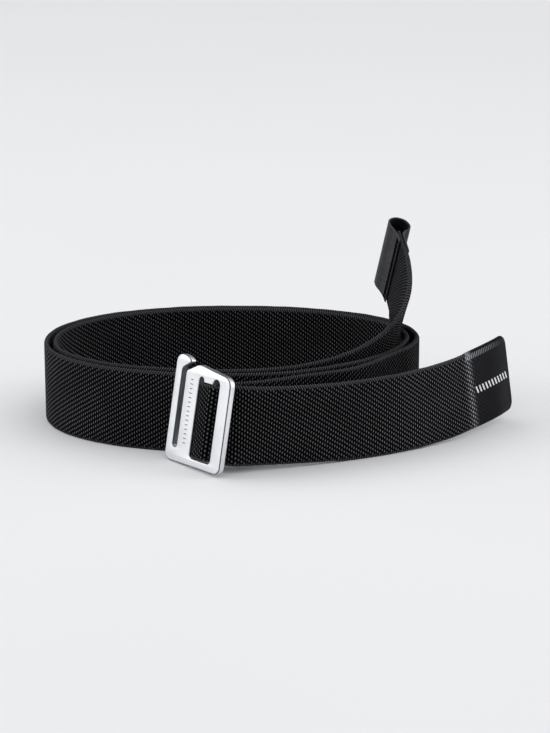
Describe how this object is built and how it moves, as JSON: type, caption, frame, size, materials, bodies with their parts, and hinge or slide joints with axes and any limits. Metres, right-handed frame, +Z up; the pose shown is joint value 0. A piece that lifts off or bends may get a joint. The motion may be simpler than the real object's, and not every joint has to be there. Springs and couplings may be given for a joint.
{
  "type": "webbing belt",
  "caption": "Coiled elastic webbing belt with a flat slotted hook buckle, a sewn loop tab at one end and a coated tip at the other.",
  "frame": {"origin": "middle of the footprint, on the surface that the web's lower edge stands on", "axes": "+Z up along the web's width, +X towards the free end, +Y away from the buckle across the coil"},
  "size_m": [0.2253, 0.1632, 0.0886],
  "materials": {
    "webbing": "ribbed elastic weave, matte with a faint sheen",
    "tab_fabric": "smooth coated fabric, satin",
    "thread": "twisted polyester thread",
    "tip_coating": "thin glossy coating",
    "buckle": "satin silver with rounded edges"
  },
  "bodies": {
    "coil": {"webbing_coil": "webbing"},
    "buckle": {"buckle_plate": "buckle", "webbing_fold": "webbing"},
    "free_end": {"webbing_free_end": "webbing", "tip_film": "tip_coating"},
    "tail": {"webbing_tail": "webbing", "loop_tab": "tab_fabric", "needle_thread_1": "thread", "needle_thread_2": "thread", "bobbin_thread_1": "thread", "bobbin_thread_2": "thread"}
  },
  "joints": [
    {"name": "buckle_turn", "type": "hinge", "parent": "coil", "child": "buckle", "pos_m": [-0.02416, -0.0625, 0.0213], "axis": [0, 0, 1], "range_deg": [-2, 10], "stiffness_Nm_per_rad": 0.03},
    {"name": "free_end_swing", "type": "hinge", "parent": "buckle", "child": "free_end", "pos_m": [-0.00765, -0.06989, 0.0212], "axis": [0, 0, 1], "range_deg": [-20, 5], "stiffness_Nm_per_rad": 0.02},
    {"name": "tail_swing", "type": "hinge", "parent": "coil", "child": "tail", "pos_m": [0.05373, 0.00515, 0.03484], "axis": [-0.1104, -0.5818, 0.8058], "range_deg": [-1, 20], "stiffness_Nm_per_rad": 0.02}
  ]
}
